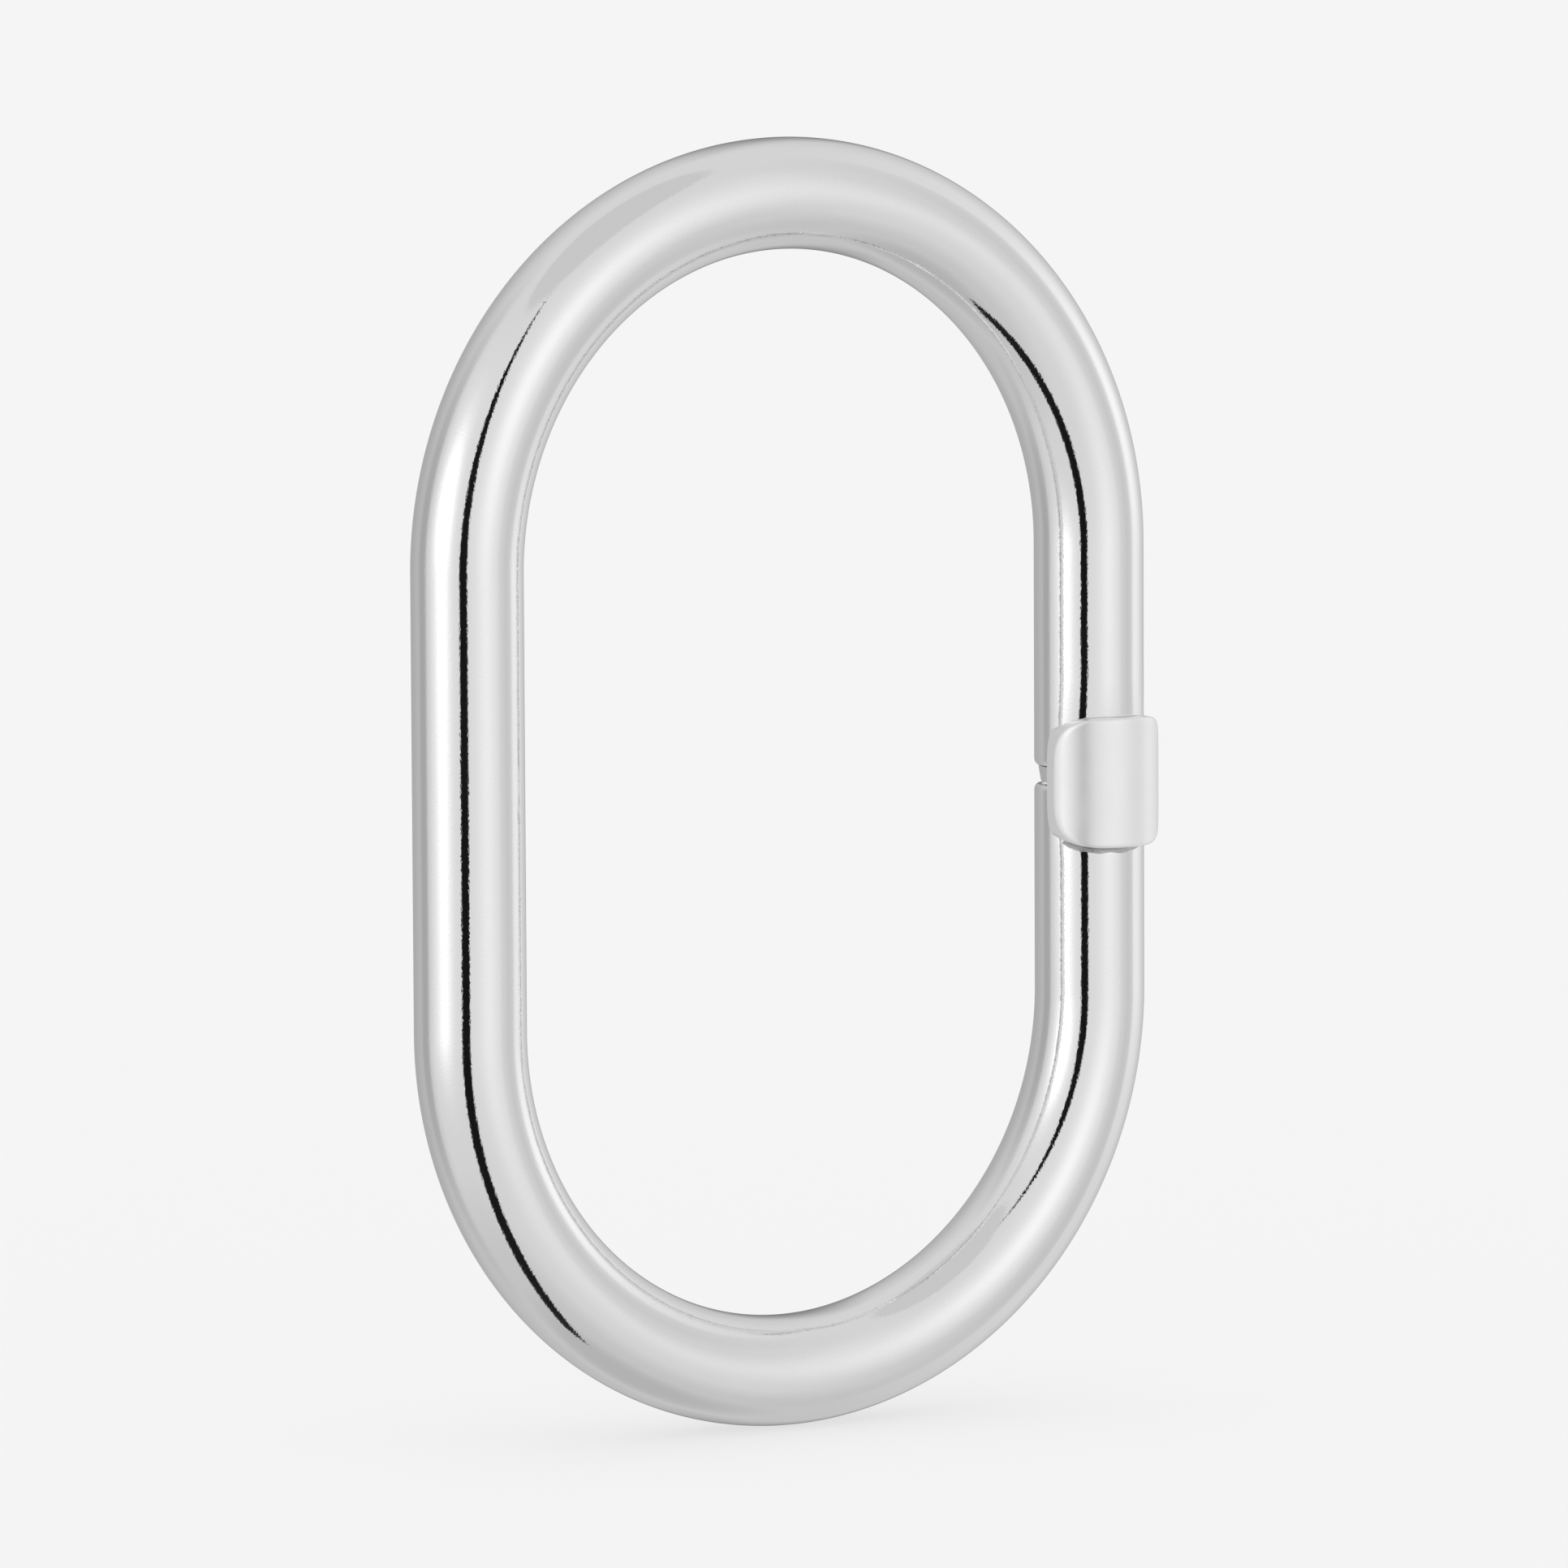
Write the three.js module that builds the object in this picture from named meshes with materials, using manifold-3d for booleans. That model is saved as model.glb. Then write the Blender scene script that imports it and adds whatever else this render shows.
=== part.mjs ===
// Oval ring clasp: a springy hollow silver tube bent into an upright oval, cut once in the near limb.
// The cut hides behind a curved cover plate. The upper end lies in a catch that is open to the back.
// Millimetres. X runs from the far limb to the near limb, -Y is the front, +Z is up.
// The bow is one springy tube. It is made here in three stretches that meet in the far limb,
// so that its give can be drawn as two hinges there.

import * as THREE from 'three';
import { mergeVertices } from 'three/addons/utils/BufferGeometryUtils.js';
import Module from 'manifold-3d';

const wasm = await Module();
wasm.setup();

// Driving dimensions of the bow
const TUBE_RADIUS = 2.45;
const TUBE_WALL = 0.35;
const BEND_RADIUS = 16;
const STRAIGHT_LENGTH = 20;
const STRETCH_GAP = 0.3;
const FAR_STRETCH_HALF = 4;

// The cut in the near limb: flat at the back and sides, mitred open in front, under the cover plate
const CUT_TOP = 0;
const CUT_BOTTOM = -0.84;
const MITRE_START_Y = -0.8;
const MITRE_SLOPE = 1.1;
const CUT_REACH = 4;

// The plug in the upper end and the catch in the lower end
const SOLDER_GAP = 0.1;
const PLUG_RADIUS = TUBE_RADIUS - TUBE_WALL - SOLDER_GAP;
const PLUG_DEPTH = 6;
const COLLAR_GAP = 0.02;
const NOSE_TOP_RADIUS = 2.27;
const NOSE_END_RADIUS = 2.15;
const LAP_GAP = 0.3;
const LAP_BACK_Y = -1;
const LAP_FRONT_Y = LAP_BACK_Y - LAP_GAP;
const WEDGE_RADIUS = 2.35;
const PEG_RADIUS = 0.6;
const PEG_Y = 0.95;
const PEG_DEPTH = 0.9;
const SLOT_CLEARANCE = 0.25;

// The cover plate and the solder bead under its lower edge
const PLATE_CLEARANCE = 0.15;
const PLATE_THICKNESS = 0.5;
const PLATE_HALF_WIDTH = 2.75;
const PLATE_HALF_HEIGHT = 2.9;
const PLATE_CENTRE_Z = -0.6;
const PLATE_BACK_Y = -0.75;
const PLATE_SQUARENESS = 4.6;
const BEAD_SIZE = 0.35;
const BEAD_HALF_WIDTH = 1.7;
const BEAD_GAP = 0.05;

const TUBE_SIDES = 24;
const BOW_STEPS = 36;
const LATHE_SIDES = 48;
const OUTLINE_POINTS = 48;

const NEAR_X = BEND_RADIUS;
const FAR_X = -BEND_RADIUS;
const HALF_STRAIGHT = STRAIGHT_LENGTH / 2;
const CUT_MIDDLE = (CUT_TOP + CUT_BOTTOM) / 2;

const POLISHED_SILVER = { color: 0xe6e6e8, roughness: 0.08, metalness: 1 };
const SATIN_SILVER = { color: 0xd8d8da, roughness: 0.32, metalness: 1 };
const CAST_SILVER = { color: 0xc9c9c8, roughness: 0.45, metalness: 1 };

// ---- solids from geometry and back ----

function toSolid(geometry) {
  const bare = geometry.clone();
  bare.deleteAttribute('normal');
  bare.deleteAttribute('uv');
  const merged = mergeVertices(bare, 1e-5);
  const vertProperties = new Float32Array(merged.attributes.position.array);
  const triVerts = new Uint32Array(merged.index.array);
  return new wasm.Manifold(new wasm.Mesh({ numProp: 3, vertProperties, triVerts }));
}

function toGeometry(solid) {
  const mesh = solid.getMesh();
  const geometry = new THREE.BufferGeometry();
  geometry.setAttribute('position', new THREE.BufferAttribute(mesh.vertProperties, 3));
  geometry.setIndex(new THREE.BufferAttribute(mesh.triVerts, 1));
  return geometry;
}

// A round solid about the near limb's axis, from [radius, z] pairs that start and end on the axis
function turned(pairs) {
  const profile = pairs.map(([radius, z]) => new THREE.Vector2(radius, z));
  const geometry = new THREE.LatheGeometry(profile, LATHE_SIDES);
  geometry.rotateX(Math.PI / 2);
  geometry.translate(NEAR_X, 0, 0);
  return toSolid(geometry);
}

function rod(radius, low, high) {
  return turned([[0, low], [radius, low], [radius, high], [0, high]]);
}

// A prism along X, from [y, z] corners listed anticlockwise as seen from +X
function prism(corners, halfLength = CUT_REACH) {
  const shape = new THREE.Shape(corners.map(([y, z]) => new THREE.Vector2(y, z)));
  const geometry = new THREE.ExtrudeGeometry(shape, { depth: 2 * halfLength, bevelEnabled: false });
  const across = new THREE.Vector3(0, 1, 0);
  const up = new THREE.Vector3(0, 0, 1);
  const along = new THREE.Vector3(1, 0, 0);
  geometry.applyMatrix4(new THREE.Matrix4().makeBasis(across, up, along));
  geometry.translate(NEAR_X - halfLength, 0, 0);
  return toSolid(geometry);
}

// Height of the upper or lower face of the cut, which is flat behind MITRE_START_Y
function upperFace(y) {
  return CUT_TOP + MITRE_SLOPE * Math.max(0, MITRE_START_Y - y);
}

function lowerFace(y) {
  return CUT_BOTTOM - MITRE_SLOPE * Math.max(0, MITRE_START_Y - y);
}

// ---- the bow ----

class BowCurve extends THREE.Curve {
  // From height farEnd on the far limb, over the bend on the given side, to nearEnd on the near limb
  constructor(side, farEnd, nearEnd) {
    super();
    this.side = side;
    this.farEnd = farEnd;
    this.farLength = HALF_STRAIGHT - Math.abs(farEnd);
    this.bendLength = Math.PI * BEND_RADIUS;
    this.nearLength = HALF_STRAIGHT - side * nearEnd;
  }

  getPoint(t, target = new THREE.Vector3()) {
    const along = t * (this.farLength + this.bendLength + this.nearLength);
    if (along < this.farLength) {
      return target.set(FAR_X, 0, this.farEnd + this.side * along);
    }
    if (along < this.farLength + this.bendLength) {
      const angle = (along - this.farLength) / BEND_RADIUS;
      const rise = HALF_STRAIGHT + BEND_RADIUS * Math.sin(angle);
      return target.set(-BEND_RADIUS * Math.cos(angle), 0, this.side * rise);
    }
    const past = along - this.farLength - this.bendLength;
    return target.set(NEAR_X, 0, this.side * (HALF_STRAIGHT - past));
  }
}

function tubeSection() {
  const section = new THREE.Shape();
  const bore = new THREE.Path();
  for (let i = 0; i < TUBE_SIDES; i += 1) {
    const angle = (2 * Math.PI * i) / TUBE_SIDES;
    const point = new THREE.Vector2(Math.cos(angle), Math.sin(angle));
    const outer = point.clone().multiplyScalar(TUBE_RADIUS);
    const inner = point.clone().multiplyScalar(TUBE_RADIUS - TUBE_WALL);
    if (i === 0) {
      section.moveTo(outer.x, outer.y);
      bore.moveTo(inner.x, inner.y);
    } else {
      section.lineTo(outer.x, outer.y);
      bore.lineTo(inner.x, inner.y);
    }
  }
  section.closePath();
  bore.closePath();
  section.holes.push(bore);
  return section;
}

function tubeAlong(curve, steps) {
  const options = { steps, extrudePath: curve, curveSegments: 1, bevelEnabled: false };
  return toSolid(new THREE.ExtrudeGeometry(tubeSection(), options));
}

// Everything between the two faces of the cut
function cutPrism() {
  return prism([
    [-CUT_REACH, lowerFace(-CUT_REACH)],
    [MITRE_START_Y, CUT_BOTTOM],
    [CUT_REACH, CUT_BOTTOM],
    [CUT_REACH, CUT_TOP],
    [MITRE_START_Y, CUT_TOP],
    [-CUT_REACH, upperFace(-CUT_REACH)],
  ]);
}

// The way the peg leaves: a slot in the lower end, open to the back
function pegSlot() {
  const floor = CUT_BOTTOM - PEG_DEPTH - SLOT_CLEARANCE;
  const front = PEG_Y - PEG_RADIUS - SLOT_CLEARANCE;
  const corners = [[front, floor], [CUT_REACH, floor], [CUT_REACH, CUT_TOP], [front, CUT_TOP]];
  return prism(corners, PEG_RADIUS + SLOT_CLEARANCE);
}

function bowUpper() {
  const start = FAR_STRETCH_HALF + STRETCH_GAP / 2;
  return tubeAlong(new BowCurve(1, start, CUT_MIDDLE), BOW_STEPS).subtract(cutPrism());
}

function bowLower() {
  const start = -FAR_STRETCH_HALF - STRETCH_GAP / 2;
  const tube = tubeAlong(new BowCurve(-1, start, CUT_MIDDLE), BOW_STEPS);
  return tube.subtract(cutPrism()).subtract(pegSlot());
}

function bowFarStretch() {
  const end = FAR_STRETCH_HALF - STRETCH_GAP / 2;
  const low = new THREE.Vector3(FAR_X, 0, -end);
  const high = new THREE.Vector3(FAR_X, 0, end);
  return tubeAlong(new THREE.LineCurve3(low, high), 1);
}

// ---- the closing ends ----

// A plug in the upper bore whose end shows as a tapered nose, flat in front, with a locating peg
function nosePlug() {
  const noseEnd = CUT_BOTTOM + SOLDER_GAP;
  const collarTop = CUT_TOP - COLLAR_GAP;
  const plug = turned([
    [0, noseEnd],
    [NOSE_END_RADIUS, noseEnd],
    [NOSE_TOP_RADIUS, collarTop],
    [PLUG_RADIUS, collarTop],
    [PLUG_RADIUS, CUT_TOP + PLUG_DEPTH],
    [0, CUT_TOP + PLUG_DEPTH],
  ]);
  const lap = prism([
    [-CUT_REACH, CUT_BOTTOM - PEG_DEPTH],
    [LAP_BACK_Y, CUT_BOTTOM - PEG_DEPTH],
    [LAP_BACK_Y, upperFace(LAP_BACK_Y)],
    [-CUT_REACH, upperFace(-CUT_REACH)],
  ]);
  const pegLow = CUT_BOTTOM - PEG_DEPTH;
  const peg = new THREE.CylinderGeometry(PEG_RADIUS, PEG_RADIUS, CUT_TOP - pegLow, LATHE_SIDES / 2);
  peg.rotateX(Math.PI / 2);
  peg.translate(NEAR_X, PEG_Y, (CUT_TOP + pegLow) / 2);
  return plug.subtract(lap).add(toSolid(peg));
}

// A block soldered into the lower bore that fills the front of the cut behind the cover plate
function catchBlock() {
  const body = rod(PLUG_RADIUS, CUT_BOTTOM - PLUG_DEPTH, upperFace(-CUT_REACH));
  const aboveFace = prism([
    [-CUT_REACH, lowerFace(-CUT_REACH) + SOLDER_GAP],
    [MITRE_START_Y, CUT_BOTTOM + SOLDER_GAP],
    [MITRE_START_Y, CUT_REACH],
    [-CUT_REACH, CUT_REACH],
  ]);
  const wedge = rod(WEDGE_RADIUS, lowerFace(-CUT_REACH), upperFace(-CUT_REACH)).intersect(aboveFace);
  const deep = CUT_BOTTOM - 2 * PLUG_DEPTH;
  const ledge = CUT_BOTTOM - SOLDER_GAP;
  const room = prism([
    [-CUT_REACH, deep],
    [CUT_REACH, deep],
    [CUT_REACH, ledge],
    [LAP_FRONT_Y, ledge],
    [LAP_FRONT_Y, upperFace(LAP_FRONT_Y) - LAP_GAP],
    [-CUT_REACH, upperFace(-CUT_REACH) - LAP_GAP],
  ]);
  return body.add(wedge).intersect(room).subtract(pegSlot());
}

// ---- the cover plate ----

const PLATE_INNER_RADIUS = TUBE_RADIUS + PLATE_CLEARANCE;
const PLATE_OUTER_RADIUS = PLATE_INNER_RADIUS + PLATE_THICKNESS;

// A rounded square in X and Z, carried forward from PLATE_BACK_Y
function plateOutline() {
  const shape = new THREE.Shape();
  const power = 2 / PLATE_SQUARENESS;
  for (let i = 0; i < OUTLINE_POINTS; i += 1) {
    const angle = (2 * Math.PI * i) / OUTLINE_POINTS;
    const c = Math.cos(angle);
    const s = Math.sin(angle);
    const x = PLATE_HALF_WIDTH * Math.sign(c) * Math.abs(c) ** power;
    const z = PLATE_HALF_HEIGHT * Math.sign(s) * Math.abs(s) ** power;
    if (i === 0) {
      shape.moveTo(x, z);
    } else {
      shape.lineTo(x, z);
    }
  }
  shape.closePath();
  const geometry = new THREE.ExtrudeGeometry(shape, { depth: CUT_REACH, bevelEnabled: false });
  geometry.rotateX(Math.PI / 2);
  geometry.translate(NEAR_X, PLATE_BACK_Y, PLATE_CENTRE_Z);
  return toSolid(geometry);
}

function coverPlate() {
  const low = PLATE_CENTRE_Z - PLATE_HALF_HEIGHT - 1;
  const high = PLATE_CENTRE_Z + PLATE_HALF_HEIGHT + 1;
  const outer = rod(PLATE_OUTER_RADIUS, low, high);
  const inner = rod(PLATE_INNER_RADIUS, low - 1, high + 1);
  return outer.subtract(inner).intersect(plateOutline());
}

// A fillet of solder between the tube and the plate's lower edge
function solderBead() {
  const top = PLATE_CENTRE_Z - PLATE_HALF_HEIGHT - BEAD_GAP;
  const skin = TUBE_RADIUS + BEAD_GAP;
  const solid = turned([[0, top - BEAD_SIZE], [skin, top - BEAD_SIZE], [skin + BEAD_SIZE, top], [0, top]]);
  const hollow = rod(skin, top - 2 * BEAD_SIZE, top + BEAD_SIZE);
  const box = new THREE.BoxGeometry(2 * BEAD_HALF_WIDTH, CUT_REACH, 2 * BEAD_SIZE);
  box.translate(NEAR_X, -CUT_REACH / 2, top - BEAD_SIZE / 2);
  return solid.subtract(hollow).intersect(toSolid(box));
}

// ---- the assembly ----

const group = new THREE.Group();

function place(name, solid, look) {
  const mesh = new THREE.Mesh(toGeometry(solid), new THREE.MeshStandardMaterial(look));
  mesh.name = name;
  group.add(mesh);
}

place('bow_lower', bowLower(), POLISHED_SILVER);
place('bow_far_stretch', bowFarStretch(), POLISHED_SILVER);
place('bow_upper', bowUpper(), POLISHED_SILVER);
place('nose_plug', nosePlug(), CAST_SILVER);
place('catch_block', catchBlock(), CAST_SILVER);
place('cover_plate', coverPlate(), SATIN_SILVER);
place('solder_bead', solderBead(), CAST_SILVER);

// The origin is the centre of the whole clasp's box
const box = new THREE.Box3().setFromObject(group);
group.position.sub(box.getCenter(new THREE.Vector3()));

export default group;
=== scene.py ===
# The looks of an oval ring clasp in polished silver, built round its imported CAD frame.
# Metres, in the frame's own axes: +X to the near limb, -Y the front, +Z up.

import math

import bmesh
import bpy
from mathutils import Matrix, Vector


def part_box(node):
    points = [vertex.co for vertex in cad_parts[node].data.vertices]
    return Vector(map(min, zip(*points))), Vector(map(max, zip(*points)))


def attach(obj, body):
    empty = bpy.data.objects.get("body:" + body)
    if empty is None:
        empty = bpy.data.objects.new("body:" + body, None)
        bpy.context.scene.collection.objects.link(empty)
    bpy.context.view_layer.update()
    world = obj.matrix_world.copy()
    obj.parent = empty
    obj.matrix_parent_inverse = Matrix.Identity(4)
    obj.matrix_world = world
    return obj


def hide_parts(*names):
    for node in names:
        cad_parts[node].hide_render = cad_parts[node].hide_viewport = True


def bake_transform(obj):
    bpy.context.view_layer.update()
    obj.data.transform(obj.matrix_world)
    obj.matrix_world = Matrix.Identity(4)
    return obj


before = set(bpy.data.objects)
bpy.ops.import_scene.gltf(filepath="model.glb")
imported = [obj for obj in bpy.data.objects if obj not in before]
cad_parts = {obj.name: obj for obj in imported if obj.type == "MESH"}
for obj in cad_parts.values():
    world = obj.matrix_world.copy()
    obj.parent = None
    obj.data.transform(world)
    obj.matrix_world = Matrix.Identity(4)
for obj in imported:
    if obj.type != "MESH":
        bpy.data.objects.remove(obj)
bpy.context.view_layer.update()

MM = 0.001


def into_scene(name, data):
    thing = bpy.data.objects.new(name, data)
    bpy.context.scene.collection.objects.link(thing)
    return thing


# ---- sizes read from the frame ----

FAR_LOW, FAR_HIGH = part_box("bow_far_stretch")
LOWER_LOW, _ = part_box("bow_lower")
_, UPPER_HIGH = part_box("bow_upper")

TUBE_RADIUS = (FAR_HIGH.x - FAR_LOW.x) / 2
TUBE_WALL = 0.35 * MM
FAR_X = (FAR_HIGH.x + FAR_LOW.x) / 2
LIMB_Y = (FAR_HIGH.y + FAR_LOW.y) / 2
MIDDLE_Z = (FAR_HIGH.z + FAR_LOW.z) / 2
NEAR_X = UPPER_HIGH.x - TUBE_RADIUS
BEND_RADIUS = (NEAR_X - FAR_X) / 2
HALF_STRAIGHT = UPPER_HIGH.z - MIDDLE_Z - TUBE_RADIUS - BEND_RADIUS
BEND_LENGTH = math.pi * BEND_RADIUS
BOW_X = (NEAR_X + FAR_X) / 2

# The cut in the near limb, as in the CAD: flat at the back and sides, mitred open in front
CUT_TOP = 0.0
CUT_BOTTOM = -0.84 * MM
MITRE_START_Y = -0.8 * MM
MITRE_SLOPE = 1.1
MITRE_ROUNDING = 0.2 * MM

# The peg's way out of the lower end, open to the back
SLOT_HALF_WIDTH = 0.85 * MM
SLOT_DEPTH = 1.15 * MM
SLOT_FRONT_Y = 0.1 * MM

# The far limb turns between this far below its middle and this far above
TWIST_REACH = 9 * MM

# ---- camera ----

CAMERA_AZIMUTH = math.radians(-31.5)
CAMERA_ELEVATION = math.radians(5.7)
CAMERA_ROLL = math.radians(-0.28)
CAMERA_DISTANCE = 0.4997
SENSOR_WIDTH = 36.0
FOCAL_IN_FRAMES = 7.24638


def make_camera():
    back = Vector((
        math.sin(CAMERA_AZIMUTH) * math.cos(CAMERA_ELEVATION),
        -math.cos(CAMERA_AZIMUTH) * math.cos(CAMERA_ELEVATION),
        math.sin(CAMERA_ELEVATION),
    ))
    data = bpy.data.cameras.new("camera")
    data.sensor_width = SENSOR_WIDTH
    data.lens = SENSOR_WIDTH * FOCAL_IN_FRAMES
    data.clip_start = 0.01
    data.clip_end = 100
    camera = into_scene("camera", data)
    camera.location = Vector((BOW_X, LIMB_Y, MIDDLE_Z)) + back * CAMERA_DISTANCE
    look = (-back).to_track_quat("-Z", "Y")
    camera.rotation_mode = "QUATERNION"
    roll = Matrix.Rotation(CAMERA_ROLL, 3, "Z").to_quaternion()
    camera.rotation_quaternion = look @ roll
    bpy.context.scene.camera = camera


make_camera()

# ---- the studio ----

FLOOR_HALF_SIZE = 12.0
# The floor is lit from below as well, so its shadows stay faint
FLOOR_GREY = 0.29
FLOOR_GLOW = 0.623
# Beyond the floor the camera sees a wall as bright as the floor is under white light
BACKDROP = FLOOR_GREY + FLOOR_GLOW


def make_floor():
    half = FLOOR_HALF_SIZE
    mesh = bpy.data.meshes.new("floor")
    level = LOWER_LOW.z
    corners = [(-half, -half, level), (half, -half, level), (half, half, level), (-half, half, level)]
    mesh.from_pydata(corners, [], [(0, 1, 2, 3)])
    floor = into_scene("floor", mesh)
    material = bpy.data.materials.new("floor_paper")
    material.use_nodes = True
    nodes = material.node_tree.nodes
    nodes.clear()
    output = nodes.new("ShaderNodeOutputMaterial")
    diffuse = nodes.new("ShaderNodeBsdfDiffuse")
    diffuse.inputs["Color"].default_value = (FLOOR_GREY, FLOOR_GREY, FLOOR_GREY, 1)
    glow = nodes.new("ShaderNodeEmission")
    glow.inputs["Color"].default_value = (FLOOR_GLOW, FLOOR_GLOW, FLOOR_GLOW, 1)
    both = nodes.new("ShaderNodeAddShader")
    material.node_tree.links.new(diffuse.outputs[0], both.inputs[0])
    material.node_tree.links.new(glow.outputs[0], both.inputs[1])
    material.node_tree.links.new(both.outputs[0], output.inputs["Surface"])
    mesh.materials.append(material)
    floor.visible_glossy = False


make_floor()

# The silver reflects a soft cloth tent. Directions are azimuth and elevation in degrees, with azimuth 0
# towards the camera's side and positive to its right. Each lamp glows through the cloth as a soft round.
LAMPS = [
    {"azimuth": -52, "elevation": 8, "spread": 11.5, "gain": 0.85},
    {"azimuth": 40, "elevation": 8, "spread": 14, "gain": 0.24},
    {"azimuth": 114, "elevation": 6, "spread": 11, "gain": 0.24},
]

# The cloth's brightness by the sine of the elevation, and its shade round the horizon by azimuth
CLOTH_BY_HEIGHT = [
    (-1, 0.45), (-0.87, 0.55), (-0.5, 0.65), (0, 0.70), (0.5, 0.70), (0.9, 0.66), (1, 0.66),
]
CLOTH_BY_AZIMUTH = [
    (-180, 0.3), (-168, 0.6), (-150, 0.58), (-118, 0.66), (-108, 0.54), (-98, 0.54),
    (-86, 0.9), (-76, 1), (62, 1), (76, 0.88), (88, 0.8), (98, 0.8),
    (107, 1), (132, 1), (140, 0.9), (164, 0.75), (180, 0.3),
]
CLOTH_STRENGTH = 1.04

# The shade by azimuth fades out with the square of the sine of the elevation, times this
SHADE_FADE = 1.3

# The tent's roof panel is a round cap that leans towards the camera
ROOF = {"azimuth": -8, "elevation": 75, "radius": 23.5, "edge": 1.5, "shade": 0.87}

# The tent's opening is a dark slit that narrows upwards, between the camera and the clasp.
# Its corners are across and up, in shares of its distance.
SLIT_DISTANCE = 0.28
SLIT_OUTLINE = [
    (-0.115, 1.28), (-0.285, 0), (-0.52, -2), (-0.72, -4),
    (-0.22, -4), (-0.12, -2), (-0.015, 0),
]


def towards(azimuth, elevation):
    """The unit direction at an azimuth and elevation in degrees, in the camera side's turned axes."""
    a = math.radians(azimuth)
    e = math.radians(elevation)
    return Vector((math.sin(a) * math.cos(e), -math.cos(a) * math.cos(e), math.sin(e)))


class Graph:
    """Small helper that adds nodes to a node tree and links values or sockets into them."""

    def __init__(self, tree):
        self.nodes = tree.nodes
        self.links = tree.links

    def feed(self, socket, value):
        if isinstance(value, bpy.types.NodeSocket):
            self.links.new(value, socket)
        else:
            socket.default_value = value

    def math(self, operation, first, second=None):
        node = self.nodes.new("ShaderNodeMath")
        node.operation = operation
        self.feed(node.inputs[0], first)
        if second is not None:
            self.feed(node.inputs[1], second)
        return node.outputs[0]

    def dot(self, vector, direction):
        node = self.nodes.new("ShaderNodeVectorMath")
        node.operation = "DOT_PRODUCT"
        self.feed(node.inputs[0], vector)
        node.inputs[1].default_value = direction
        return node.outputs["Value"]

    def remap(self, value, low, high, to_low, to_high, smooth=False):
        node = self.nodes.new("ShaderNodeMapRange")
        node.interpolation_type = "SMOOTHSTEP" if smooth else "LINEAR"
        self.feed(node.inputs["Value"], value)
        node.inputs["From Min"].default_value = low
        node.inputs["From Max"].default_value = high
        node.inputs["To Min"].default_value = to_low
        node.inputs["To Max"].default_value = to_high
        return node.outputs[0]

    def noise(self, place, scale, detail):
        node = self.nodes.new("ShaderNodeTexNoise")
        node.inputs["Scale"].default_value = scale
        node.inputs["Detail"].default_value = detail
        self.links.new(place, node.inputs["Vector"])
        return node.outputs["Fac"]

    def mix(self, factor, first, second):
        node = self.nodes.new("ShaderNodeMix")
        node.data_type = "RGBA"
        self.feed(node.inputs["Factor"], factor)
        self.feed(node.inputs["A"], first)
        self.feed(node.inputs["B"], second)
        return node.outputs["Result"]

    def ramp(self, value, stops, low, high):
        """A ramp of greys through (value, grey) stops, which span low to high."""
        node = self.nodes.new("ShaderNodeValToRGB")
        node.color_ramp.interpolation = "EASE"
        elements = node.color_ramp.elements
        elements.remove(elements[1])
        for i, (at, grey) in enumerate(stops):
            position = (at - low) / (high - low)
            stop = elements[0] if i == 0 else elements.new(position)
            stop.position = position
            stop.color = (grey, grey, grey, 1)
        self.feed(node.inputs["Fac"], self.remap(value, low, high, 0, 1))
        return node.outputs["Color"]


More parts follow.
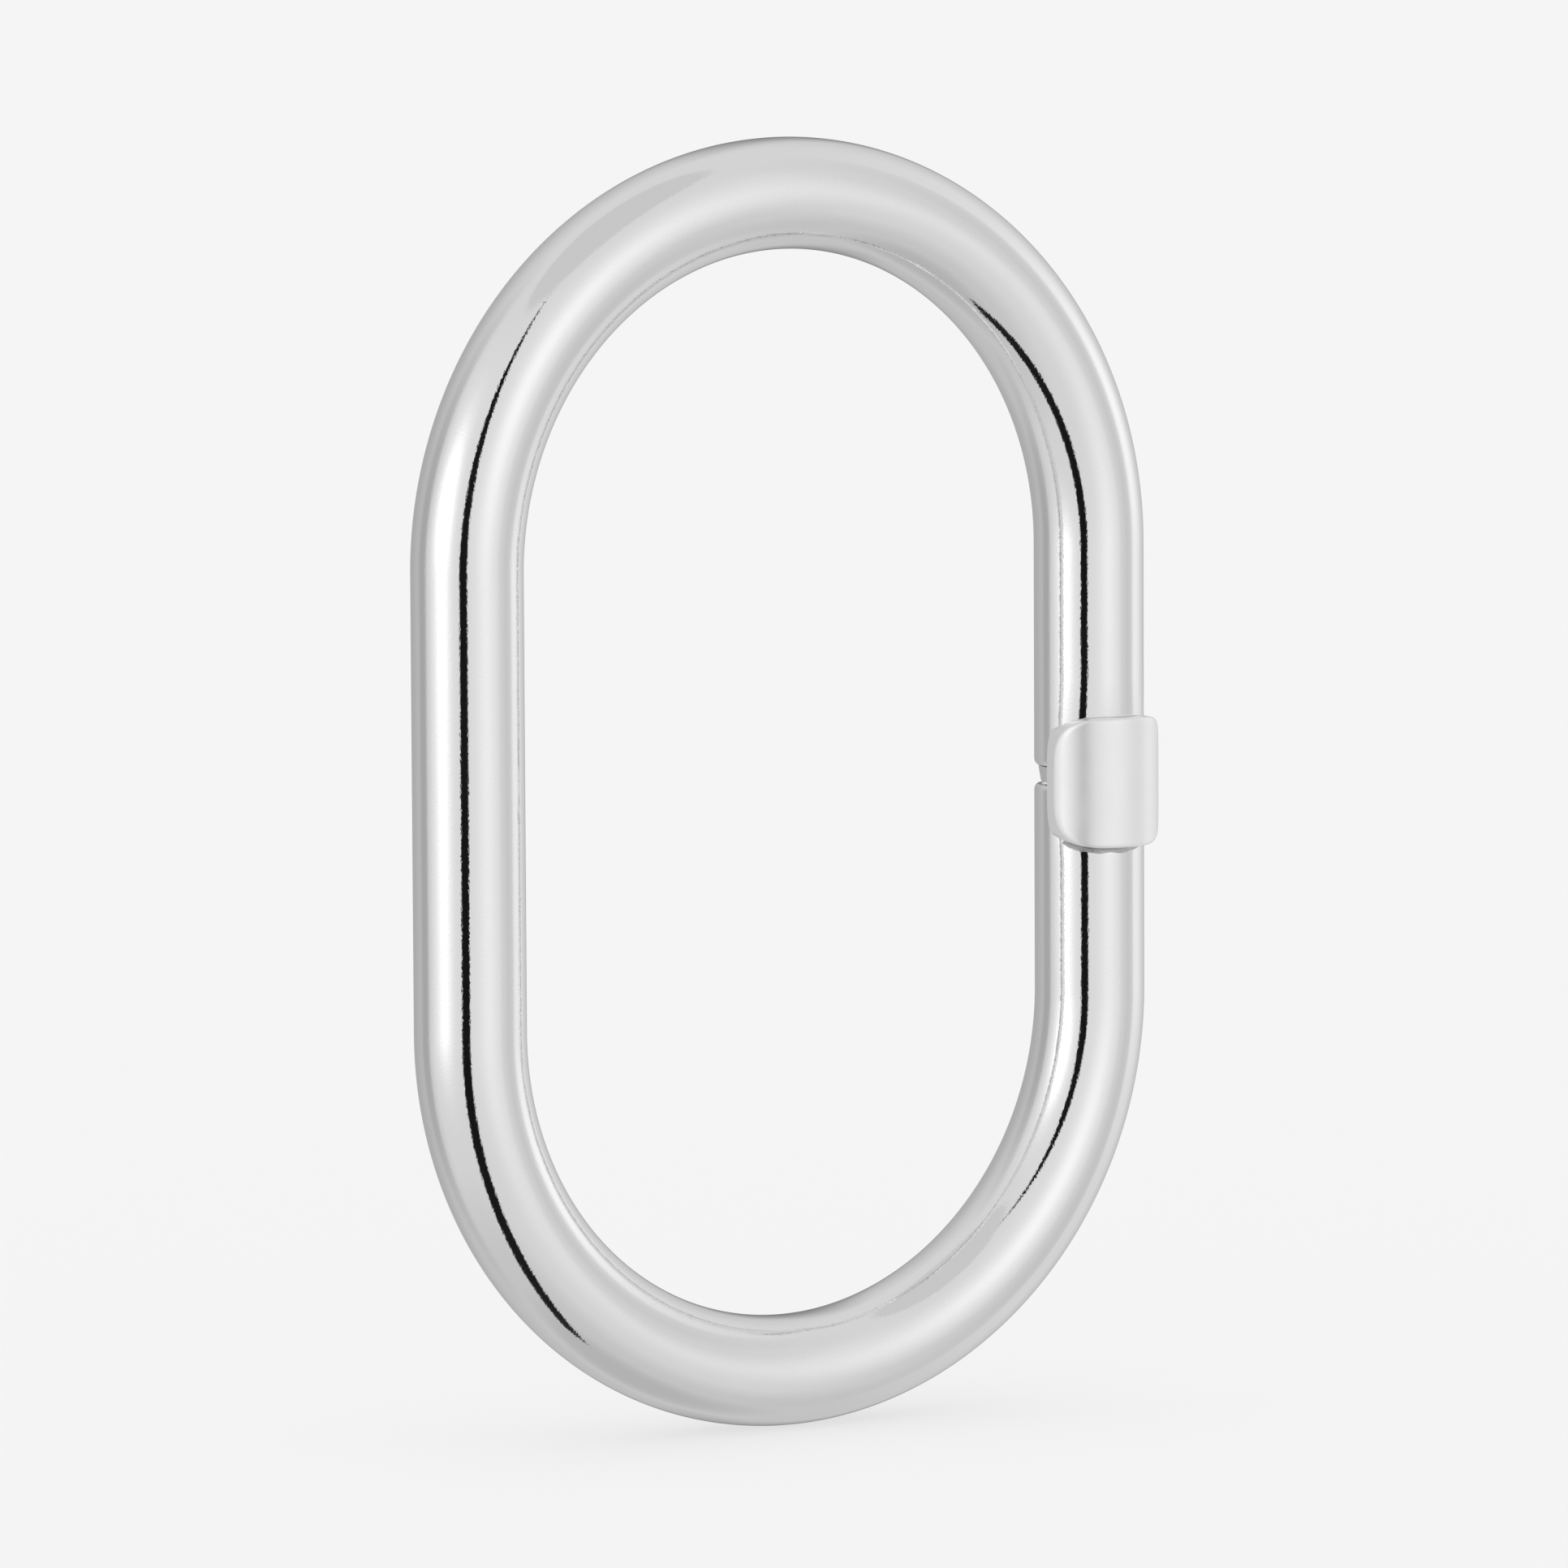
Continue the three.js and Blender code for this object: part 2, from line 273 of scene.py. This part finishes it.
def make_world():
    world = bpy.data.worlds.new("tent")
    bpy.context.scene.world = world
    world.use_nodes = True
    world.node_tree.nodes.clear()
    graph = Graph(world.node_tree)
    nodes, links = graph.nodes, graph.links
    place = nodes.new("ShaderNodeTexCoord")
    turned = nodes.new("ShaderNodeVectorRotate")
    turned.rotation_type = "Z_AXIS"
    turned.inputs["Angle"].default_value = -CAMERA_AZIMUTH
    links.new(place.outputs["Generated"], turned.inputs["Vector"])
    direction = turned.outputs[0]
    split = nodes.new("ShaderNodeSeparateXYZ")
    links.new(direction, split.inputs[0])
    height = split.outputs["Z"]
    forward = graph.math("MULTIPLY", split.outputs["Y"], -1.0)
    azimuth = graph.math("ARCTAN2", split.outputs["X"], forward)
    azimuth = graph.math("MULTIPLY", azimuth, 180 / math.pi)
    shade = graph.ramp(azimuth, CLOTH_BY_AZIMUTH, -180, 180)
    fade = graph.math("MULTIPLY", graph.math("MULTIPLY", height, height), SHADE_FADE)
    level = graph.math("MAXIMUM", graph.math("SUBTRACT", 1.0, fade), 0.0)
    dimming = graph.math("MULTIPLY", graph.math("SUBTRACT", 1.0, shade), level)
    cloth = graph.ramp(height, CLOTH_BY_HEIGHT, -1, 1)
    cloth = graph.math("MULTIPLY", cloth, graph.math("SUBTRACT", 1.0, dimming))
    roof_cos = graph.dot(direction, towards(ROOF["azimuth"], ROOF["elevation"]))
    outside = math.cos(math.radians(ROOF["radius"] + ROOF["edge"]))
    inside = math.cos(math.radians(ROOF["radius"] - ROOF["edge"]))
    roof = graph.remap(roof_cos, outside, inside, 1, ROOF["shade"], smooth=True)
    cloth = graph.math("MULTIPLY", cloth, roof)
    for lamp in LAMPS:
        closeness = graph.dot(direction, towards(lamp["azimuth"], lamp["elevation"]))
        fall = 1 / math.radians(lamp["spread"]) ** 2
        power = graph.math("MULTIPLY", graph.math("SUBTRACT", closeness, 1.0), fall)
        glow = graph.math("MULTIPLY", graph.math("EXPONENT", power), lamp["gain"])
        cloth = graph.math("ADD", cloth, glow)
    cloth = graph.math("MULTIPLY", cloth, CLOTH_STRENGTH)
    path = nodes.new("ShaderNodeLightPath")
    room = graph.mix(path.outputs["Is Glossy Ray"], (1, 1, 1, 1), cloth)
    room = graph.mix(path.outputs["Is Camera Ray"], room, (BACKDROP, BACKDROP, BACKDROP, 1))
    background = nodes.new("ShaderNodeBackground")
    links.new(room, background.inputs["Color"])
    output = nodes.new("ShaderNodeOutputWorld")
    links.new(background.outputs[0], output.inputs["Surface"])
    bpy.context.scene.view_settings.view_transform = "Standard"


def make_slit():
    """The dark slit as a flat card that only reflections see."""
    centre = Vector((BOW_X, LIMB_Y, MIDDLE_Z))
    out = Matrix.Rotation(CAMERA_AZIMUTH, 3, "Z") @ Vector((0, -1, 0))
    right = Matrix.Rotation(CAMERA_AZIMUTH, 3, "Z") @ Vector((1, 0, 0))
    points = [
        centre + SLIT_DISTANCE * (out + right * across + Vector((0, 0, up)))
        for across, up in SLIT_OUTLINE
    ]
    mesh = bpy.data.meshes.new("tent_slit")
    mesh.from_pydata(points, [], [tuple(range(len(points)))])
    slit = into_scene("tent_slit", mesh)
    material = bpy.data.materials.new("dark_slit")
    material.use_nodes = True
    shader = material.node_tree.nodes["Principled BSDF"]
    shader.inputs["Base Color"].default_value = (0, 0, 0, 1)
    shader.inputs["Roughness"].default_value = 1
    mesh.materials.append(material)
    slit.visible_camera = False
    slit.visible_diffuse = False
    slit.visible_shadow = False


make_world()
make_slit()

# ---- materials ----

# The haze sets in between these values of its noise
HAZE_LOW = 0.35
HAZE_HIGH = 0.75


def silver(name, grey, roughness, haze, haze_scale, grain, bump, metallic=1.0, relief=0.01 * MM):
    """A silver whose roughness rises by haze in soft clouds, with a fine bump as high as relief.
    haze_scale and grain are the two noises' scales, per metre."""
    material = bpy.data.materials.new(name)
    material.use_nodes = True
    graph = Graph(material.node_tree)
    shader = graph.nodes["Principled BSDF"]
    shader.inputs["Metallic"].default_value = metallic
    shader.inputs["Base Color"].default_value = (grey, grey, grey, 1)
    place = graph.nodes.new("ShaderNodeTexCoord").outputs["Object"]
    cloud = graph.noise(place, haze_scale, 3)
    spread = graph.remap(cloud, HAZE_LOW, HAZE_HIGH, roughness, roughness + haze)
    graph.feed(shader.inputs["Roughness"], spread)
    bumps = graph.nodes.new("ShaderNodeBump")
    bumps.inputs["Strength"].default_value = bump
    bumps.inputs["Distance"].default_value = relief
    graph.feed(bumps.inputs["Height"], graph.noise(place, grain, 2))
    graph.feed(shader.inputs["Normal"], bumps.outputs[0])
    return material


POLISHED = silver(
    "polished_silver", 0.95, roughness=0.04, haze=0.03, haze_scale=160, grain=9000, bump=0.28,
)
SATIN = silver(
    "satin_silver", 0.97, roughness=0.36, haze=0.05, haze_scale=900, grain=13000, bump=0.35,
    metallic=0.82,
)
# The solder's grey, darker than the silver, is painted shade: it stands in for the shadow and dark
# reflection in the crevice between the plate's lower edge and the tube.
SOLDER_PAINTED_SHADE = silver(
    "solder", 0.62, roughness=0.26, haze=0.16, haze_scale=700, grain=4200, bump=1.0,
    relief=0.06 * MM,
)
CAST = silver(
    "cast_silver", 0.86, roughness=0.34, haze=0.12, haze_scale=500, grain=4000, bump=0.6,
)

# ---- the bow ----

SIDES = 128
TURNING_STEPS = 24
BENT_STEPS = 220
EDGE_STEPS = 4
SHARP_DEGREES = 35

# The rings along the tube stop this far before the cut
BEFORE_CUT = 4 * MM

# The cut ends' outer edges are filed round, wider along the tube than across its wall
SHOULDER_WIDTH = 0.21 * MM
SHOULDER_HEIGHT = 0.28 * MM
INNER_ROUNDING = 0.04 * MM


def softly_over(value):
    """value where it is well above 0, and 0 where it is well below, with a filed round between."""
    return (value + math.sqrt(value * value + MITRE_ROUNDING * MITRE_ROUNDING)) / 2


def upper_face(y):
    return CUT_TOP + MITRE_SLOPE * softly_over(MITRE_START_Y - y)


def lower_face(y):
    return CUT_BOTTOM - MITRE_SLOPE * softly_over(MITRE_START_Y - y)


def smooth_object(name, mesh, material, sharp_degrees):
    for polygon in mesh.polygons:
        polygon.use_smooth = True
    mesh.set_sharp_from_angle(angle=math.radians(sharp_degrees))
    mesh.materials.append(material)
    return into_scene(name, mesh)


def lofted(name, rings, material, closed=True, caps=False, sharp_degrees=SHARP_DEGREES):
    """A tube of quads through rings of equal length; closed joins the last ring to the first."""
    points = [point for ring in rings for point in ring]
    faces = []
    count = len(rings[0])
    for i in range(len(rings) if closed else len(rings) - 1):
        low = i * count
        high = ((i + 1) % len(rings)) * count
        for j in range(count):
            k = (j + 1) % count
            faces.append((low + j, low + k, high + k, high + j))
    if caps:
        faces.append(tuple(reversed(range(count))))
        faces.append(tuple(range(len(points) - count, len(points))))
    mesh = bpy.data.meshes.new(name)
    mesh.from_pydata(points, [], faces)
    work = bmesh.new()
    work.from_mesh(mesh)
    bmesh.ops.recalc_face_normals(work, faces=work.faces)
    work.to_mesh(mesh)
    work.free()
    return smooth_object(name, mesh, material, sharp_degrees)


def place_on_bow(side, along, radius, angle):
    """A point at radius and angle round the centreline. along is measured from the far limb's middle,
    and angle is 0 away from the oval's middle and a quarter turn at the back."""
    outwards = radius * math.cos(angle)
    y = LIMB_Y + radius * math.sin(angle)
    if along < HALF_STRAIGHT:
        return (FAR_X - outwards, y, MIDDLE_Z + side * along)
    if along < HALF_STRAIGHT + BEND_LENGTH:
        turn = (along - HALF_STRAIGHT) / BEND_RADIUS
        reach = BEND_RADIUS + outwards
        rise = HALF_STRAIGHT + reach * math.sin(turn)
        return (BOW_X - reach * math.cos(turn), y, MIDDLE_Z + side * rise)
    past = along - HALF_STRAIGHT - BEND_LENGTH
    return (NEAR_X + outwards, y, MIDDLE_Z + side * (HALF_STRAIGHT - past))


ANGLES = [2 * math.pi * j / SIDES for j in range(SIDES)]


def stretch(name, side, start, end, steps, end_face=None):
    """A stretch of hollow tube. With end_face its end is cut to that face and rounded over."""
    inner_radius = TUBE_RADIUS - TUBE_WALL
    places = [start + (end - start) * i / steps for i in range(steps + 1)]
    middle_of_limb = HALF_STRAIGHT + BEND_LENGTH + HALF_STRAIGHT

    def ring(along, radius):
        return [place_on_bow(side, along, radius, a) for a in ANGLES]

    def cut_ring(radius, back):
        """The ring where the tube meets the cut, drawn back from its face by back."""
        points = []
        for a in ANGLES:
            along = middle_of_limb - side * end_face(radius * math.sin(a)) - back
            points.append(place_on_bow(side, along, radius, a))
        return points

    rings = [ring(along, TUBE_RADIUS) for along in places]
    if end_face:
        turns = [math.pi / 2 * step / EDGE_STEPS for step in range(EDGE_STEPS + 1)]
        for turn in turns:
            inset = SHOULDER_WIDTH * (1 - math.cos(turn))
            back = SHOULDER_HEIGHT * (1 - math.sin(turn))
            rings.append(cut_ring(TUBE_RADIUS - inset, back))
        for turn in turns:
            inset = INNER_ROUNDING * (1 - math.sin(turn))
            back = INNER_ROUNDING * (1 - math.cos(turn))
            rings.append(cut_ring(inner_radius + inset, back))
    rings += [ring(along, inner_radius) for along in reversed(places)]
    return lofted(name, rings, POLISHED)


def cut_slot(tube):
    """Cuts the peg's way through the back of the lower end."""
    low = Vector((NEAR_X - SLOT_HALF_WIDTH, LIMB_Y + SLOT_FRONT_Y, CUT_BOTTOM - SLOT_DEPTH))
    high = Vector((NEAR_X + SLOT_HALF_WIDTH, LIMB_Y + 2 * TUBE_RADIUS, CUT_BOTTOM + SLOT_DEPTH))
    block = bmesh.new()
    middle = Matrix.Translation((low + high) / 2)
    bmesh.ops.create_cube(block, size=1, matrix=middle @ Matrix.Diagonal((*(high - low), 1)))
    cutter_mesh = bpy.data.meshes.new("slot_cutter")
    block.to_mesh(cutter_mesh)
    block.free()
    cutter = into_scene("slot_cutter", cutter_mesh)
    cut = tube.modifiers.new("slot", "BOOLEAN")
    cut.operation = "DIFFERENCE"
    cut.solver = "EXACT"
    cut.object = cutter
    seen = tube.evaluated_get(bpy.context.evaluated_depsgraph_get())
    slotted = bpy.data.meshes.new_from_object(seen)
    tube.modifiers.remove(cut)
    bpy.data.objects.remove(cutter)
    tube.data = slotted
    slotted.set_sharp_from_angle(angle=math.radians(SHARP_DEGREES))


def make_bow():
    last_ring = HALF_STRAIGHT + BEND_LENGTH + HALF_STRAIGHT - BEFORE_CUT
    for side, name, body, face in (
        (1, "upper", "upper_end", upper_face),
        (-1, "lower", "lower_end", lower_face),
    ):
        turning = stretch(f"far_limb_{name}", side, 0.0, TWIST_REACH, TURNING_STEPS)
        bent = stretch(f"bow_{name}_tube", side, TWIST_REACH, last_ring, BENT_STEPS, face)
        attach(bent, body)
        if side > 0:
            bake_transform(turning)
            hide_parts("bow_upper")
            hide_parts("bow_far_stretch")
        else:
            cut_slot(bent)
            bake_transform(turning)
            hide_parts("bow_lower")


make_bow()

# ---- the cover plate ----

PLATE_LOW, PLATE_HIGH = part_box("cover_plate")
PLATE_THICKNESS = 0.5 * MM
PLATE_OUTER = LIMB_Y - PLATE_LOW.y
PLATE_INNER = PLATE_OUTER - PLATE_THICKNESS
PLATE_HALF_WIDTH = (PLATE_HIGH.x - PLATE_LOW.x) / 2
PLATE_HALF_HEIGHT = (PLATE_HIGH.z - PLATE_LOW.z) / 2
PLATE_Z = (PLATE_HIGH.z + PLATE_LOW.z) / 2
PLATE_BACK = PLATE_HIGH.y - LIMB_Y
PLATE_SQUARENESS = 4.6
PLATE_ROUNDING = 0.17 * MM
PLATE_EASING = 0.05 * MM
PLATE_SHARP_DEGREES = 60
FRONT_STEPS = 6
BACK_STEPS = 3

# The outline has this many points, spaced evenly with the help of one that is so many times finer
OUTLINE_COUNT = 240
FINENESS = 16

# The plate's faces have rings at these shares of the way from its middle to its edge
FACE_SHARES = [0.02, 0.1, 0.2, 0.3, 0.4, 0.5, 0.6, 0.7, 0.8, 0.88, 0.94, 0.98]


def signed_power(value, power):
    return math.copysign(abs(value) ** power, value)


def plate_edge(turn):
    """A point on the plate's outline, seen from the front: across and up from its middle."""
    power = 2 / PLATE_SQUARENESS
    across = PLATE_HALF_WIDTH * signed_power(math.cos(turn), power)
    return Vector((across, PLATE_HALF_HEIGHT * signed_power(math.sin(turn), power)))


def outline_points(count):
    """Points spaced evenly along the plate's outline, with the outward normal at each."""
    fine_count = FINENESS * count
    fine = [plate_edge(2 * math.pi * i / fine_count) for i in range(fine_count)]
    lengths = [0.0]
    for i in range(fine_count):
        lengths.append(lengths[-1] + (fine[(i + 1) % fine_count] - fine[i]).length)
    points = []
    i = 0
    for k in range(count):
        wanted = lengths[-1] * k / count
        while lengths[i + 1] < wanted:
            i += 1
        share = (wanted - lengths[i]) / (lengths[i + 1] - lengths[i])
        points.append(fine[i].lerp(fine[(i + 1) % fine_count], share))
    normals = []
    for k in range(count):
        along = points[(k + 1) % count] - points[k - 1]
        normals.append(Vector((along.y, -along.x)).normalized())
    return points, normals


def on_cylinder(flat, radius):
    """A point seen from the front, laid onto a cylinder round the near limb's axis."""
    return Vector((flat.x, -math.sqrt(max(0.0, radius * radius - flat.x * flat.x)), flat.y))


def on_back(flat):
    """The same on the plate's back, which is hollow over the tube and flat at both sides."""
    hollow = on_cylinder(flat, PLATE_INNER)
    return Vector((flat.x, min(hollow.y, PLATE_BACK), flat.y))


def curve(start, corner, end, steps):
    """Points of a round that leaves start towards corner and arrives at end from it."""
    shares = [i / steps for i in range(steps + 1)]
    return [start * (1 - t) ** 2 + corner * (2 * t * (1 - t)) + end * t * t for t in shares]


def beside_limb(local):
    return (NEAR_X + local.x, LIMB_Y + local.y, PLATE_Z + local.z)


def make_plate():
    points, normals = outline_points(OUTLINE_COUNT)
    to_back = Vector((0, 1, 0))
    columns = []
    for p, n in zip(points, normals):
        rim = p - n * PLATE_ROUNDING
        lip = p - n * PLATE_EASING
        front_corner = on_cylinder(p, PLATE_OUTER)
        front_end = front_corner + to_back * PLATE_ROUNDING
        back_corner = on_back(p)
        back_start = back_corner - to_back * PLATE_EASING
        column = [on_cylinder(rim * share, PLATE_OUTER) for share in FACE_SHARES]
        column += curve(on_cylinder(rim, PLATE_OUTER), front_corner, front_end, FRONT_STEPS)
        column += curve(back_start, back_corner, on_back(lip), BACK_STEPS)
        column += [on_back(lip * share) for share in reversed(FACE_SHARES)]
        columns.append([beside_limb(local) for local in column])
    rings = [list(ring) for ring in zip(*columns)]
    plate = lofted("cover_pad", rings, SATIN, False, True, PLATE_SHARP_DEGREES)
    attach(plate, "lower_end")
    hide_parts("cover_plate")


make_plate()

# ---- the solder fillet under the plate ----

BEAD_REACH = 0.3 * MM
BEAD_LEFT = -2.15 * MM
BEAD_RIGHT = 1.5 * MM
BEAD_CLIMB = 0.3 * MM
BEAD_SUNK = 0.03 * MM
BEAD_UNDER = 0.12 * MM
BEAD_STEPS = 10

# The fillet thins towards its ends, to the thinnest share of its full size. Its lean moves its fullest
# place to the left of its middle, and its fullness widens that place.
BEAD_THINNEST = 0.02
BEAD_LEAN = 0.8
BEAD_FULLNESS = 0.6

# Its foot wanders in two waves, each with a height as a share, radians per mm and a start
BEAD_RIPPLES = [(0.12, 2.3, 0), (0.1, 6.1, 1)]

# Only this far round the plate's edge does it face downwards
FACING_DOWN = -0.1


def make_bead():
    """A fillet from the tube's skin up to the plate's lower edge, fullest to the left of its middle."""
    points, normals = outline_points(2 * OUTLINE_COUNT)
    lower = [
        (p, n) for p, n in zip(points, normals)
        if n.y < FACING_DOWN and BEAD_LEFT < p.x < BEAD_RIGHT
    ]
    lower.sort(key=lambda pair: pair[0].x)
    sunk = Vector((0, BEAD_SUNK, 0))
    rings = []
    for p, n in lower:
        share = (p.x - BEAD_LEFT) / (BEAD_RIGHT - BEAD_LEFT)
        fade = max(BEAD_THINNEST, math.sin(math.pi * share ** BEAD_LEAN)) ** BEAD_FULLNESS
        waves = [high * math.sin(p.x / MM * rate + start) for high, rate, start in BEAD_RIPPLES]
        ripple = 1 + sum(waves)
        foot = on_cylinder(p + n * (BEAD_REACH * fade * ripple), TUBE_RADIUS)
        heel = on_cylinder(p, TUBE_RADIUS)
        top = on_cylinder(p, PLATE_INNER + BEAD_CLIMB * fade)
        under = p - n * BEAD_UNDER
        ring = curve(foot, heel, top, BEAD_STEPS)
        ring.append(on_cylinder(under, PLATE_INNER + BEAD_SUNK))
        ring += [on_cylinder(under, TUBE_RADIUS) + sunk, foot + sunk]
        rings.append([beside_limb(local) for local in ring])
    # The fillet's darker grey is painted shade for the crevice under the plate.
    bead = lofted("solder_fillet", rings, SOLDER_PAINTED_SHADE, closed=False, caps=True)
    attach(bead, "lower_end")
    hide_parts("solder_bead")


make_bead()

# ---- the cast pieces inside the cut ----

CAST_ROUNDING = 0.07 * MM
ROUNDING_STEPS = 3
WELD_DISTANCE = 0.002 * MM
FLAT_DEGREES = 1
EDGE_DEGREES = 30
CAST_SHARP_DEGREES = 40


def refined(node, name, material, body):
    """A piece with the CAD node's shape, its edges rounded over as tumbling leaves them."""
    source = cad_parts[node]
    work = bmesh.new()
    work.from_mesh(source.data)
    work.transform(source.matrix_world)
    bmesh.ops.remove_doubles(work, verts=work.verts, dist=WELD_DISTANCE)
    flat = math.radians(FLAT_DEGREES)
    bmesh.ops.dissolve_limit(work, angle_limit=flat, verts=work.verts, edges=work.edges)
    sharp = math.radians(EDGE_DEGREES)
    edges = [e for e in work.edges if e.is_manifold and e.calc_face_angle() > sharp]
    bmesh.ops.bevel(
        work, geom=edges, offset=CAST_ROUNDING, offset_type="OFFSET", segments=ROUNDING_STEPS,
        profile=0.5, affect="EDGES", clamp_overlap=True,
    )
    mesh = bpy.data.meshes.new(name)
    work.to_mesh(mesh)
    work.free()
    thing = smooth_object(name, mesh, material, CAST_SHARP_DEGREES)
    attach(thing, body)
    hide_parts(node)


refined("nose_plug", "tapered_nose", CAST, "upper_end")
refined("catch_block", "catch_casting", CAST, "lower_end")
